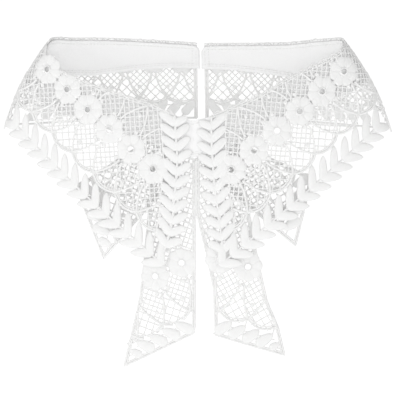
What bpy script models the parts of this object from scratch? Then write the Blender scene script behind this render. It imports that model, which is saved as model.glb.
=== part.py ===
"""Detachable lace collar in metres, +Z up, as it hangs round an empty neck.

Every piece is cut in a flat pattern of (arc, height) points and then draped. Arc is the length round the
form from centre front, or from centre back on the back falls. The form's sections are ovals of four arcs.
"""

import math

import bmesh
import bpy
from mathutils import Vector
from mathutils.geometry import delaunay_2d_cdt

# Form that the cloth hangs on
NECK_HALF_WIDTH = 0.097
NECK_HALF_DEPTH = 0.030
SIDE_RADIUS = 0.016
WIDTH_GAIN = 0.045
WIDTH_DROP = 0.060
DEPTH_GAIN = 0.026
DEPTH_DROP = 0.085

# Cloth
LACE_WALL = 0.0012
MOTIF_RISE = 0.0009
TAIL_WALL = 0.0010
BAND_WALL = 0.0016
SEAM_GAP = 0.0003
BAND_HEIGHT = 0.023
BAND_SLOPE_DROP = 0.0005
BAND_END = 0.0006
BAND_CORNER = 0.004
BAND_CORNER_SETBACK = 0.35
BAND_TAPER = 0.0078
BAND_TAPER_START = 0.72
BAND_COLUMNS = 56
BAND_ROWS = 3
GRID = 0.0090
BEND_GRID = 0.0033
BEND_REACH = 0.024
TOP_ROW_DROP = 0.0026
ROLL_STEPS = 34
SEAM_STEPS = 8
HEM_STEPS = 30
FIRST_SHARE = 0.05
HEAD_DROP = 0.0004
SLIVER = 1e-10

# Layers inside the falls, as the height of a cloth's inner face over the form
LONG_TAIL_LAYER = -SEAM_GAP - MOTIF_RISE - TAIL_WALL
SHORT_TAIL_LAYER = LONG_TAIL_LAYER - SEAM_GAP - TAIL_WALL

# Neckline: share of the way from centre front to centre back, height on the left, height on the right
ROLL_LINE = (
    (0.00, -0.0420, -0.0420),
    (0.05, -0.0380, -0.0384),
    (0.10, -0.0325, -0.0332),
    (0.17, -0.0278, -0.0260),
    (0.23, -0.0235, -0.0186),
    (0.30, -0.0190, -0.0118),
    (0.36, -0.0145, -0.0066),
    (0.42, -0.0070, -0.0018),
    (0.50, 0.0030, 0.0045),
    (0.62, 0.0026, 0.0030),
    (0.75, 0.0018, -0.0002),
    (1.00, -0.0015, -0.0018),
)

# Leaves: length, half-width and how far a root reaches under its vein
LEAF_LENGTH = 0.0122
LEAF_HALF_WIDTH = 0.0029
LEAF_OVERLAP = 0.0014
VEIN_HALF_WIDTH = 0.0009

# Leaf column beside the centre front edge: arc and height down its vein
COLUMN_LINES = {
    "left": ((0.0109, -0.0438), (0.0091, -0.0660), (0.0102, -0.0830), (0.0122, -0.1070), (0.0160, -0.1195)),
    "right": ((0.0119, -0.0458), (0.0121, -0.0560), (0.0139, -0.0786), (0.0185, -0.1124), (0.0199, -0.1225)),
}
COLUMN_PAIRS = 11
COLUMN_SPREAD = math.radians(54)
COLUMN_LEAF = 0.0112
COLUMN_TOP_SPREAD = math.radians(68)
COLUMN_TOP_LEAF = 0.0084

# Leaf border of a front fall, from the front point up to the side
BORDER_START = (0.0193, -0.1306)
BORDER_ANGLE = math.radians(39.5)
BORDER_PITCH = 0.0092
BORDER_PAIRS = 15
OUTWARD_ANGLE = math.radians(-2)
UPRIGHT_ANGLE = math.radians(91)
UPRIGHT_LENGTH = 0.0112
UPRIGHT_HALF_WIDTH = 0.0024

# Slit between one upright leaf and the next, going round: across and up from the border root
BORDER_SLIT = (
    (0.0034, 0.0052),
    (0.0042, 0.0075),
    (0.0041, 0.0118),
    (0.0052, 0.0150),
    (0.0018, 0.0136),
    (0.0030, 0.0110),
    (0.0030, 0.0070),
)

# Back hem, flowers and the leaf rows inside straight edges
HEM_AT_SIDE = -0.0530
HEM_AT_BACK = -0.0500
HEM_CORNER_RISE = 0.0042
HEM_CORNER_SHARE = 0.8
BACK_EDGE = 0.0030
HEM_LEAVES = 12
HEM_ROW_START = 0.0030
ROW_SLANT = math.radians(48)
ROW_PITCH = 0.0092
ROW_INSET = 0.0028
ROW_LEAF = 0.0115
ROW_LEAF_HALF_WIDTH = 0.0026
EDGE_CORD = 0.0012

# Gap at the foot of a row's leaf, going round: along the edge and in from it
ROW_GAP = ((0.0030, 0.0016), (0.0083, 0.0016), (0.0078, 0.0060))

# Flowers
FLOWER_RADIUS = 0.0088
FLOWER_NOTCH = 0.74
PETALS = 8
FRONT_FLOWERS = 6
FLOWER_START = (0.0245, -0.0722)
FLOWER_STEP = (0.0143, 0.0119)
BACK_FLOWERS = 6
BACK_FLOWER_START = 0.0125
BACK_FLOWER_PITCH = 0.0182
BACK_FLOWER_HEIGHT = -0.0115

# Tails: arcs that a root spans under the band, then the arc and height of each free corner, going round
ROOT_STEPS = 10
LONG_ROOTS = {"left": (-0.0020, 0.0240), "right": (0.0028, 0.0280)}
SHORT_ROOTS = {"left": (0.0080, 0.0300), "right": (0.0080, 0.0300)}
LONG_TAILS = {
    "left": (
        (-0.0022, -0.1710),
        (-0.0010, -0.1757),
        (0.0432, -0.1976),
        (0.0350, -0.1630),
        (0.0330, -0.1550),
        (0.0300, -0.1280),
    ),
    "right": (
        (0.0031, -0.0990),
        (0.0101, -0.1277),
        (0.0143, -0.1479),
        (0.0153, -0.1765),
        (0.0595, -0.1900),
        (0.0550, -0.1716),
        (0.0480, -0.1556),
        (0.0415, -0.1274),
    ),
}
SHORT_TAILS = {
    "left": (
        (0.0080, -0.0740),
        (0.0575, -0.1300),
        (0.0765, -0.0860),
    ),
    "right": (
        (0.0080, -0.0720),
        (0.0665, -0.1210),
        (0.0770, -0.0790),
    ),
}

# Heel and tip of each tail's slanted end, as places in its corners
LONG_END = {"left": (1, 2), "right": (3, 4)}
SHORT_END = {"left": (2, 1), "right": (2, 1)}
TAIL_FLOWERS = {
    "left": ((0.0064, -0.1310), (0.0232, -0.1398)),
    "right": ((0.0177, -0.1283), (0.0357, -0.1335)),
}
TAIL_LEAVES = 5
TAIL_ROW_START = 0.0028

SIDES = {"left": -1, "right": 1}
COTTON_LACE = ("cotton_lace", (0.86, 0.86, 0.85, 1.0), 0.82)
COTTON_BAND = ("cotton_band", (0.88, 0.88, 0.88, 1.0), 0.88)


# The form

def section(height):
    """Front radius, front turn and side centre of the form's oval at a height."""
    half_width = NECK_HALF_WIDTH + WIDTH_GAIN * (1 - math.exp(height / WIDTH_DROP))
    half_depth = NECK_HALF_DEPTH + DEPTH_GAIN * (1 - math.exp(height / DEPTH_DROP))
    across = half_width - SIDE_RADIUS
    turn = 2 * math.atan((half_depth - SIDE_RADIUS) / across)
    return SIDE_RADIUS + across / math.sin(turn), turn, across


def half_girth(height):
    """Length of the oval from centre front to centre back."""
    radius, turn, _ = section(height)
    return 2 * radius * turn + SIDE_RADIUS * (math.pi - 2 * turn)


def drape(arc, height, out, side):
    """The point at an arc from centre front and a height, out from the form, on one side."""
    radius, turn, across = section(height)
    front = radius * turn
    round_side = SIDE_RADIUS * (math.pi - 2 * turn)
    centre = (radius - SIDE_RADIUS) * math.cos(turn)
    if arc <= front:
        angle = arc / radius
        middle = (0.0, centre)
        reach = radius
    elif arc <= front + round_side:
        angle = turn + (arc - front) / SIDE_RADIUS
        middle = (across, 0.0)
        reach = SIDE_RADIUS
    else:
        angle = math.pi - turn + (arc - front - round_side) / radius
        middle = (0.0, -centre)
        reach = radius
    x = middle[0] + (reach + out) * math.sin(angle)
    y = middle[1] - (reach + out) * math.cos(angle)
    return Vector((side * x, y, height))


def drape_back(arc, height, out, side):
    """The same from centre back."""
    return drape(half_girth(height) - arc, height, out, side)


def roll_height(share, side):
    """Height of the neckline, smooth through the table."""
    column = 1 if side < 0 else 2
    rows = ROLL_LINE
    at = max(i for i in range(len(rows) - 1) if rows[i][0] <= share or i == 0)
    before, start, end, after = (rows[min(max(at + k, 0), len(rows) - 1)] for k in (-1, 0, 1, 2))
    span = end[0] - start[0]
    t = (share - start[0]) / span
    rise_in = (end[column] - before[column]) / max(end[0] - before[0], span) * span
    rise_out = (after[column] - start[column]) / max(after[0] - start[0], span) * span
    return (
        (2 * t**3 - 3 * t**2 + 1) * start[column]
        + (t**3 - 2 * t**2 + t) * rise_in
        + (-2 * t**3 + 3 * t**2) * end[column]
        + (t**3 - t**2) * rise_out
    )


def hem_height(arc, height_girth):
    """Height of the back hem at an arc from centre back."""
    share = 2 * arc / height_girth
    corner = max(0.0, (share - HEM_CORNER_SHARE) / (1 - HEM_CORNER_SHARE))
    return HEM_AT_BACK + (HEM_AT_SIDE - HEM_AT_BACK) * share**2 + HEM_CORNER_RISE * corner**2


# Flat shapes

def leaf(root, angle, length=LEAF_LENGTH, half_width=LEAF_HALF_WIDTH, overlap=LEAF_OVERLAP):
    """A leaf with its root, direction and size. The root end reaches back under its vein."""
    along = Vector((math.cos(angle), math.sin(angle)))
    start = Vector(root) - along * overlap
    return {"kind": "leaf", "start": start, "along": along, "length": length + overlap, "half": half_width}


def leaf_width(shape, t):
    """Half-width of a leaf at a share of its length: pointed at the root, round at the tip."""
    return shape["half"] * math.sin(math.pi * min(max(t, 0), 1) ** 1.15) ** 0.7


def leaf_outline(shape):
    across = Vector((-shape["along"].y, shape["along"].x))
    points = [shape["start"].copy()]
    stations = (0.16, 0.5, 0.86)
    for t in stations:
        points.append(shape["start"] + shape["along"] * shape["length"] * t - across * leaf_width(shape, t))
    points.append(shape["start"] + shape["along"] * shape["length"])
    for t in reversed(stations):
        points.append(shape["start"] + shape["along"] * shape["length"] * t + across * leaf_width(shape, t))
    return points


def leaf_ridge(shape):
    return [shape["start"] + shape["along"] * shape["length"] * t for t in (0.35, 0.75)]


def leaf_rise(shape, point):
    """How far a leaf lifts the cloth's face at a flat point."""
    offset = point - shape["start"]
    t = offset.dot(shape["along"]) / shape["length"]
    if not 0 < t < 1:
        return 0.0
    aside = abs(offset.x * shape["along"].y - offset.y * shape["along"].x)
    share = aside / leaf_width(shape, t)
    return MOTIF_RISE * math.sqrt(max(0.0, 1 - share * share)) * math.sin(math.pi * t) ** 0.35


def flower(centre, radius=FLOWER_RADIUS):
    return {"kind": "flower", "centre": Vector(centre), "radius": radius}


def flower_outline(shape):
    points = []
    for k in range(2 * PETALS):
        reach = shape["radius"] * (1 if k % 2 == 0 else FLOWER_NOTCH)
        angle = math.pi * k / PETALS
        points.append(shape["centre"] + Vector((math.cos(angle), math.sin(angle))) * reach)
    return points


def flower_ridge(shape):
    reach = shape["radius"] * 0.6
    angles = [2 * math.pi * k / PETALS for k in range(PETALS)]
    return [shape["centre"].copy()] + [
        shape["centre"] + Vector((math.cos(a), math.sin(a))) * reach for a in angles
    ]


def flower_rise(shape, point):
    offset = point - shape["centre"]
    share = offset.length / shape["radius"]
    if share >= 1:
        return 0.0
    petal = 0.7 + 0.3 * math.cos(PETALS * math.atan2(offset.y, offset.x))
    return MOTIF_RISE * petal * math.sin(math.pi * share**1.3) ** 0.6


OUTLINE = {"leaf": leaf_outline, "flower": flower_outline}
RIDGE = {"leaf": leaf_ridge, "flower": flower_ridge}
RISE = {"leaf": leaf_rise, "flower": flower_rise}


def inside(point, outline):
    """Whether a flat point is inside a closed outline."""
    odd = False
    for a, b in zip(outline, outline[1:] + outline[:1]):
        if (a.y > point.y) != (b.y > point.y):
            if point.x < a.x + (point.y - a.y) * (b.x - a.x) / (b.y - a.y):
                odd = not odd
    return odd


def near_edge(point, outline, margin):
    """Whether a flat point is within a margin of an outline's edge."""
    for a, b in zip(outline, outline[1:] + outline[:1]):
        share = max(0.0, min(1.0, (point - a).dot(b - a) / (b - a).length_squared))
        if (point - a.lerp(b, share)).length < margin:
            return True
    return False


def well_inside(point, outline, margin=EDGE_CORD):
    return inside(point, outline) and not near_edge(point, outline, margin)


def grid_points(outline, bend):
    """Points inside an outline that let the cloth bend, closer past the arc where the side turns."""
    points = []
    row = 0
    y = max(p.y for p in outline) - TOP_ROW_DROP
    while y > min(p.y for p in outline):
        x = min(p.x for p in outline) + GRID / 2
        while x < max(p.x for p in outline):
            if (row % 2 == 0 or x > bend) and well_inside(Vector((x, y)), outline):
                points.append(Vector((x, y)))
            x += BEND_GRID if x > bend else GRID
        y -= GRID / 2
        row += 1
    return points


def triangulate(points, edges, kept):
    """Triangles of a constrained triangulation whose middles are kept, without slivers on straight edges."""
    found = delaunay_2d_cdt(points, edges, [], 0, 1e-7, False)
    flat, faces = found[0], found[2]
    real = []
    for face in faces:
        a, b, c = (flat[k] for k in face)
        area = abs((b - a).cross(c - a)) / 2
        if area > SLIVER and kept((a + b + c) / 3):
            real.append(face)
    return flat, real


def divided(outline):
    """A closed outline with points no further apart than the grid's."""
    points = []
    for a, b in zip(outline, outline[1:] + outline[:1]):
        steps = max(1, math.ceil((b - a).length / GRID))
        points.extend(a.lerp(b, k / steps) for k in range(steps))
    return points


def closed_edges(outlines):
    """All the points of some closed outlines, and the edges that join them."""
    points = []
    edges = []
    for outline in outlines:
        first = len(points)
        count = len(outline)
        points.extend(outline)
        edges.extend((first + k, first + (k + 1) % count) for k in range(count))
    return points, edges


def lace_wall(name, ground, motifs, gaps, place, wall, layer, bend=math.inf):
    """A lace piece: a flat ground with motifs raised on its face, gaps cut through, and a plain back."""
    outlines = [OUTLINE[m["kind"]](m) for m in motifs]
    cloth = [divided(ground)] + outlines

    def kept(point):
        if any(inside(point, gap) for gap in gaps):
            return False
        return any(inside(point, outline) for outline in cloth)

    def rise(point):
        return max((RISE[m["kind"]](m, point) for m in motifs), default=0.0)

    points, edges = closed_edges(cloth + gaps)
    even = [
        p
        for p in grid_points(ground, bend)
        if not any(inside(p, gap) or near_edge(p, gap, EDGE_CORD / 2) for gap in gaps)
    ]
    free = [p for p in even if not any(inside(p, outline) for outline in outlines)]
    ridges = [p for m in motifs for p in RIDGE[m["kind"]](m)]
    face, face_triangles = triangulate(points + ridges + free, edges, kept)

    uses = {}
    for triangle in face_triangles:
        for a, b in zip(triangle, triangle[1:] + triangle[:1]):
            uses.setdefault(frozenset((a, b)), []).append((a, b))
    rim = [pair[0] for pair in uses.values() if len(pair) == 1]
    rim_points = sorted({a for a, _ in rim} | {b for _, b in rim})
    number = {old: new for new, old in enumerate(rim_points)}
    back_points = [face[k] for k in rim_points]
    back_edges = [(number[a], number[b]) for a, b in rim]
    back, back_triangles = triangulate(back_points + even, back_edges, kept)

    mesh = bmesh.new()
    top = {}
    for k in sorted({k for t in face_triangles for k in t}):
        top[k] = mesh.verts.new(place(face[k].x, face[k].y, layer + wall + rise(face[k])))
    low = {}
    for k in sorted({k for t in back_triangles for k in t}):
        low[k] = mesh.verts.new(place(back[k].x, back[k].y, layer))
    for a, b, c in face_triangles:
        mesh.faces.new((top[a], top[b], top[c]))
    for a, b, c in back_triangles:
        mesh.faces.new((low[c], low[b], low[a]))
    for a, b in rim:
        mesh.faces.new((top[b], top[a], low[number[a]], low[number[b]]))
    bmesh.ops.triangulate(mesh, faces=mesh.faces[:])
    bmesh.ops.recalc_face_normals(mesh, faces=mesh.faces[:])
    return new_object(name, mesh, COTTON_LACE)


# Scene and materials

def clear_scene():
    for thing in list(bpy.data.objects):
        bpy.data.objects.remove(thing, do_unlink=True)


def cotton(name, colour, roughness):
    material = bpy.data.materials.get(name) or bpy.data.materials.new(name)
    material.use_nodes = True
    shader = material.node_tree.nodes["Principled BSDF"]
    shader.inputs["Base Color"].default_value = colour
    shader.inputs["Roughness"].default_value = roughness
    shader.inputs["Metallic"].default_value = 0.0
    return material


def new_object(name, mesh, finish):
    data = bpy.data.meshes.new(name)
    mesh.to_mesh(data)
    mesh.free()
    data.materials.append(cotton(*finish))
    thing = bpy.data.objects.new(name, data)
    collection.objects.link(thing)
    return thing


# Pieces

def column_vein(word):
    """Even points down the vein of a leaf column, one for each pair of leaves."""
    line = [Vector(point) for point in COLUMN_LINES[word]]
    lengths = [(b - a).length for a, b in zip(line, line[1:])]
    found = []
    for k in range(COLUMN_PAIRS):
        walked = sum(lengths) * k / (COLUMN_PAIRS - 1)
        at = 0
        while at < len(lengths) - 1 and walked > lengths[at]:
            walked -= lengths[at]
            at += 1
        found.append(line[at].lerp(line[at + 1], walked / lengths[at]))
    return found


def column_leaves(vein):
    """Pairs of leaves that point up and out from the vein. The inner one at the neckline is short and low."""
    leaves = []
    for k, root in enumerate(vein):
        along = (vein[max(k - 1, 0)] - vein[min(k + 1, len(vein) - 1)]).normalized()
        upward = math.atan2(along.y, along.x)
        leaves.append(leaf(root, upward - COLUMN_SPREAD, COLUMN_LEAF))
        spread = COLUMN_SPREAD if k else COLUMN_TOP_SPREAD
        leaves.append(leaf(root, upward + spread, COLUMN_LEAF if k else COLUMN_TOP_LEAF))
    return leaves


def border_root(k):
    reach = BORDER_PITCH * k
    return Vector(
        (BORDER_START[0] + reach * math.cos(BORDER_ANGLE), BORDER_START[1] + reach * math.sin(BORDER_ANGLE))
    )


def border_leaves():
    """Pairs of leaves up the slanting edge: one points out and one points up."""
    leaves = []
    for k in range(BORDER_PAIRS):
        leaves.append(leaf(border_root(k), OUTWARD_ANGLE))
        leaves.append(leaf(border_root(k), UPRIGHT_ANGLE, UPRIGHT_LENGTH, UPRIGHT_HALF_WIDTH))
    return leaves


def border_gaps():
    """The slits between one upright leaf and the next."""
    return [[border_root(k) + Vector(point) for point in BORDER_SLIT] for k in range(BORDER_PAIRS - 3)]


def flower_row():
    return [
        flower((FLOWER_START[0] + k * FLOWER_STEP[0], FLOWER_START[1] + k * FLOWER_STEP[1]))
        for k in range(FRONT_FLOWERS)
    ]


def front_fall(name, side, word):
    """Front of the lace, from its leaf column round to the side seam."""
    roll = []
    vein = column_vein(word)
    first = vein[0].x / half_girth(roll_height(FIRST_SHARE, side))
    for k in range(ROLL_STEPS + 1):
        share = first + (0.5 - first) * k / ROLL_STEPS
        height = roll_height(share, side)
        gap = SEAM_GAP / 2 if k == ROLL_STEPS else 0
        roll.append(Vector((share * half_girth(height) - gap, height)))
    seam = []
    last = border_root(BORDER_PAIRS - 1).y
    for k in range(1, SEAM_STEPS + 1):
        height = roll[-1].y + (last - roll[-1].y) * k / SEAM_STEPS
        seam.append(Vector((half_girth(height) / 2 - SEAM_GAP / 2, height)))
    outer = Vector((math.sin(BORDER_ANGLE), -math.cos(BORDER_ANGLE))) * VEIN_HALF_WIDTH
    border = [border_root(k) + outer for k in range(BORDER_PAIRS - 1, -1, -1)]
    inner = Vector((-VEIN_HALF_WIDTH, 0))
    column = [root + inner for root in reversed(vein)]
    head = [Vector((vein[0].x - VEIN_HALF_WIDTH, roll_height(FIRST_SHARE, side) - HEAD_DROP))]
    ground = roll + seam + border + column + head
    motifs = column_leaves(vein) + border_leaves() + flower_row()

    def place(arc, height, out):
        return drape(arc, height, out, side)

    return lace_wall(name, ground, motifs, border_gaps(), place, LACE_WALL, 0.0, roll[-1].x - BEND_REACH)


def row_along(start, end, count, hand=1):
    """Slanted leaves, and the gaps at their feet, beside a straight edge. Hand 1 puts them on its left."""
    start = Vector(start)
    along = (Vector(end) - start).normalized()
    inward = Vector((-along.y, along.x)) * hand
    heading = math.atan2(along.y, along.x) + ROW_SLANT * hand
    leaves = []
    gaps = []
    for k in range(count):
        foot = start + along * ROW_PITCH * k
        leaves.append(leaf(foot + inward * ROW_INSET, heading, ROW_LEAF, ROW_LEAF_HALF_WIDTH, 0.0))
        if k < count - 1:
            gaps.append([foot + along * a + inward * b for a, b in ROW_GAP])
    return leaves, gaps


def back_fall(name, side):
    """Back of the lace, from its straight centre back edge round to the side seam."""
    roll = []
    for k in range(ROLL_STEPS + 1):
        share = 1 - 0.5 * k / ROLL_STEPS
        height = roll_height(share, side)
        gap = SEAM_GAP / 2 if k == ROLL_STEPS else 0
        roll.append(Vector((max((1 - share) * half_girth(height) - gap, BACK_EDGE), height)))
    seam = []
    for k in range(1, SEAM_STEPS + 1):
        height = roll[-1].y + (HEM_AT_SIDE - roll[-1].y) * k / SEAM_STEPS
        seam.append(Vector((half_girth(height) / 2 - SEAM_GAP / 2, height)))
    girth = half_girth(HEM_AT_SIDE)
    hem = []
    for k in range(1, HEM_STEPS + 1):
        arc = seam[-1].x + (BACK_EDGE - seam[-1].x) * k / HEM_STEPS
        hem.append(Vector((arc, hem_height(arc, girth))))
    ground = roll + seam + hem
    leaves = []
    gaps = []
    for k in range(HEM_LEAVES):
        arc = HEM_ROW_START + k * ROW_PITCH
        start = (arc + ROW_PITCH, hem_height(arc + ROW_PITCH, girth))
        end = (arc, hem_height(arc, girth))
        some, cut = row_along(start, end, 2, -1)
        leaves.append(some[0])
        gaps.extend(cut)
    flowers = [
        flower((BACK_FLOWER_START + k * BACK_FLOWER_PITCH, BACK_FLOWER_HEIGHT)) for k in range(BACK_FLOWERS)
    ]

    def place(arc, height, out):
        return drape_back(arc, height, out, side)

    return lace_wall(
        name, ground, leaves + flowers, gaps, place, LACE_WALL, 0.0, roll[-1].x - BEND_REACH
    )


def under_band(arc, side):
    """Height just under the neckband's lower edge at an arc from centre front."""
    height = -BAND_HEIGHT
    for _ in range(8):
        band_foot = roll_height(arc / half_girth(height), side) - SEAM_GAP - BAND_HEIGHT
        height = band_foot - BAND_SLOPE_DROP - SEAM_GAP
    return height


def tail(name, side, root, corners, end, flowers, layer):
    """A lace tail that hangs from under the band, with a leaf row along its slanted end."""
    free = [Vector(corner) for corner in corners]
    heel, tip = (free[k] for k in end)
    arcs = [root[1] + (root[0] - root[1]) * k / ROOT_STEPS for k in range(ROOT_STEPS + 1)]
    ground = [Vector((arc, under_band(arc, side))) for arc in arcs] + free
    along = (tip - heel).normalized()
    middle = sum(ground, Vector((0, 0))) / len(ground)
    hand = 1 if along.x * (middle.y - heel.y) > along.y * (middle.x - heel.x) else -1
    leaves, gaps = row_along(heel + along * TAIL_ROW_START, tip, TAIL_LEAVES, hand)
    whole = [m for m in leaves if all(well_inside(p, ground) for p in leaf_outline(m))]
    open_gaps = [gap for gap in gaps if all(well_inside(p, ground) for p in gap)]

    def place(arc, height, out):
        return drape(arc, height, out, side)

    motifs = whole + [flower(centre) for centre in flowers]
    return lace_wall(name, ground, motifs, open_gaps, place, TAIL_WALL, layer)


def band_height(share):
    """Height of the neckband, which narrows to its ends at centre back."""
    way = max(0.0, (share - BAND_TAPER_START) / (1 - BAND_TAPER_START))
    return BAND_HEIGHT - BAND_TAPER * math.sin(math.pi / 2 * way)


def neckband():
    """The woven band inside the neckline: one strip, open at centre back."""
    mesh = bmesh.new()
    columns = []
    for k in range(-BAND_COLUMNS, BAND_COLUMNS + 1):
        side = -1 if k < 0 else 1
        share = abs(k) / BAND_COLUMNS
        top = roll_height(share, side) - SEAM_GAP
        column = []
        for row in range(BAND_ROWS + 1):
            height = top - band_height(share) * row / BAND_ROWS
            setback = BAND_CORNER * BAND_CORNER_SETBACK if row == 0 else 0
            arc = min(share * half_girth(height), half_girth(height) - BAND_END - setback)
            column.append(mesh.verts.new(drape(arc, height, -SEAM_GAP, side)))
        columns.append(column)
    for left, right in zip(columns, columns[1:]):
        for row in range(BAND_ROWS):
            mesh.faces.new((left[row], left[row + 1], right[row + 1], right[row]))
    band = new_object("neckband", mesh, COTTON_BAND)
    wall = band.modifiers.new("wall", "SOLIDIFY")
    wall.thickness = BAND_WALL
    wall.offset = -1.0
    return band


clear_scene()
collection = bpy.data.collections.new("detachable_collar")
bpy.context.scene.collection.children.link(collection)
neckband()
for word, way in SIDES.items():
    front_fall(f"front_fall_{word}", way, word)
    back_fall(f"back_fall_{word}", way)
    long_tail = (LONG_ROOTS[word], LONG_TAILS[word], LONG_END[word], TAIL_FLOWERS[word], LONG_TAIL_LAYER)
    short_tail = (SHORT_ROOTS[word], SHORT_TAILS[word], SHORT_END[word], (), SHORT_TAIL_LAYER)
    tail(f"long_tail_{word}", way, *long_tail)
    tail(f"short_tail_{word}", way, *short_tail)
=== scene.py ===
"""Detachable lace collar, dressed: threads, satin leaves, petals, picots and a stitched woven neckband.

Each lace piece is drawn in a flat pattern of (arc, height) points and then draped on the collar's form,
as its solid is. Lengths are in metres.
"""

import itertools
import math

import bmesh
import bpy
from mathutils import Matrix, Vector, noise


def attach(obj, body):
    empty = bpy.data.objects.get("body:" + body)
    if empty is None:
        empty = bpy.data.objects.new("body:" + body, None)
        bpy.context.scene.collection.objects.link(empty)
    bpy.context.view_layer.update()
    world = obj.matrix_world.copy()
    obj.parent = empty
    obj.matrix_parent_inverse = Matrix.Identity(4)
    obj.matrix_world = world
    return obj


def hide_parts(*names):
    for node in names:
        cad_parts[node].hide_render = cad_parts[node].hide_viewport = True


bl_info = {
    "name": "Lace collar",
    "version": (1, 0, 0),
    "blender": (4, 5, 0),
    "location": "View3D > Sidebar > Collar",
    "description": "Builds a detachable lace collar with its neckband, falls and tails",
    "category": "Add Mesh",
}

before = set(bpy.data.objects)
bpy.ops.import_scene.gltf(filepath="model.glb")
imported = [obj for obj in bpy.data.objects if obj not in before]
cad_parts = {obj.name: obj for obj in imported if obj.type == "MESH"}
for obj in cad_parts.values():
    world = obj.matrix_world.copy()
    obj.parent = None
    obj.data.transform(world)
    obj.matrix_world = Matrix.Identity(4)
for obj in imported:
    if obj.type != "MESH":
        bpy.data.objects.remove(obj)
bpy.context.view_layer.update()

# Form that the cloth hangs on
NECK_HALF_WIDTH = 0.097
NECK_HALF_DEPTH = 0.030
SIDE_RADIUS = 0.016
WIDTH_GAIN = 0.045
WIDTH_DROP = 0.060
DEPTH_GAIN = 0.026
DEPTH_DROP = 0.085

# Cloth layers, as the height of a cloth's inner face over the form
LACE_WALL = 0.0012
TAIL_WALL = 0.0010
MOTIF_RISE = 0.0009
SEAM_GAP = 0.0003
LONG_TAIL_LAYER = -SEAM_GAP - MOTIF_RISE - TAIL_WALL
SHORT_TAIL_LAYER = LONG_TAIL_LAYER - SEAM_GAP - TAIL_WALL

# Neckline: share of the way from centre front to centre back, height on the left, height on the right
ROLL_LINE = (
    (0.00, -0.0420, -0.0420),
    (0.05, -0.0380, -0.0384),
    (0.10, -0.0325, -0.0332),
    (0.17, -0.0278, -0.0260),
    (0.23, -0.0235, -0.0186),
    (0.30, -0.0190, -0.0118),
    (0.36, -0.0145, -0.0066),
    (0.42, -0.0070, -0.0018),
    (0.50, 0.0030, 0.0045),
    (0.62, 0.0026, 0.0030),
    (0.75, 0.0018, -0.0002),
    (1.00, -0.0015, -0.0018),
)

# Neckband
BAND_HEIGHT = 0.023
BAND_SLOPE_DROP = 0.0005
BAND_TAPER = 0.0078
BAND_TAPER_START = 0.72
BAND_MIDDLE = -0.0011
BAND_HALF_WALL = 0.00056
BAND_HEM = 0.0034
BAND_HEM_WELT = 0.00016
BAND_END = 0.0006
BAND_CORNER = 0.0040
BAND_CORNER_SHARE = 0.94
BAND_DIP = 0.00012
BAND_DIP_WIDTH = 0.0005
BAND_SOFT = 0.00025
BAND_STATIONS = 320
BAND_LOOP = 44
GIRTH_HEIGHT = -0.010

# Stitches of the band: each row's depth from the top, or else its rise from the foot
STITCH_ROWS = ((0.0021, 0), (0, 0.0034), (0, 0.0021))
STITCH_RADIUS = 0.00017
STITCH_LIFT = 0.0001
STITCH_PARTS = ((0.15, -STITCH_LIFT), (0.50, STITCH_LIFT), (0.85, -STITCH_LIFT))
STITCHED_SHARE = 0.985
END_INSETS = (0.010, 0.021)
END_STITCHES = 5
END_PITCH = 0.0021
END_TOP = 0.0028

# Leaf column, leaf border, hem and leaf rows
COLUMN_LINES = {
    "left": ((0.0109, -0.0438), (0.0091, -0.0660), (0.0102, -0.0830), (0.0122, -0.1070), (0.0160, -0.1195)),
    "right": ((0.0119, -0.0458), (0.0121, -0.0560), (0.0139, -0.0786), (0.0185, -0.1124), (0.0199, -0.1225)),
}
COLUMN_PAIRS = 11
COLUMN_INNER = {"turn": math.radians(54), "length": 0.0108, "half": 0.0028}
COLUMN_OUTER = {"turn": math.radians(-50), "length": 0.0124, "half": 0.0028}
COLUMN_TOP = {"turn": math.radians(66), "length": 0.0086, "half": 0.0026}
COLUMN_REACH = 0.0088
COLUMN_TIP = 7.0
BORDER_START = Vector((0.0193, -0.1306))
BORDER_ANGLE = math.radians(39.5)
BORDER_PITCH = 0.0092
BORDER_PAIRS = 15
OUTWARD_ANGLE = math.radians(-2)
OUTWARD_OVERLAP = 0.0026
UPRIGHT_ANGLE = math.radians(91)
UPRIGHT_LENGTH = 0.0136
UPRIGHT_HALF = 0.0029
HEM_AT_SIDE = -0.0530
HEM_AT_BACK = -0.0500
HEM_CORNER_RISE = 0.0042
HEM_CORNER_SHARE = 0.8
BACK_EDGE = 0.0030
BACK_ROW_START = 0.0030
BACK_ROW_LEAVES = 12
BACK_ROOT_RISE = 0.0012
BACK_LEAF_HALF = 0.0032
ROW_SLANT = math.radians(48)
ROW_PITCH = 0.0092
ROW_INSET = 0.0012
ROW_LEAF = 0.0130
ROW_LEAF_LEAST = 0.0060
TAIL_LEAVES = 5
TAIL_ROW_START = -0.0010
TAIL_STRIPS = {"long": 0.0104, "short": 0.0116}
TAIL_LEAF_HALF = 0.0036

# Bars that join a leaf row to its cord and to the net
BAR_CORD = 0.0005
BAR_LEAST = 0.0012
BAR_MOST = 0.0052
BAR_STEP = 0.0003
BAR_LAP = 0.0004
LEAF_ROOM = 0.0012
TIP_LAP = 0.0008
ROOT_BAR = (0.0006, 0.0014)
SIDE_BAR = (0.0050, 0.0052, 0.0006)
SIDE_BAR_CORD = 0.00045

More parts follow.
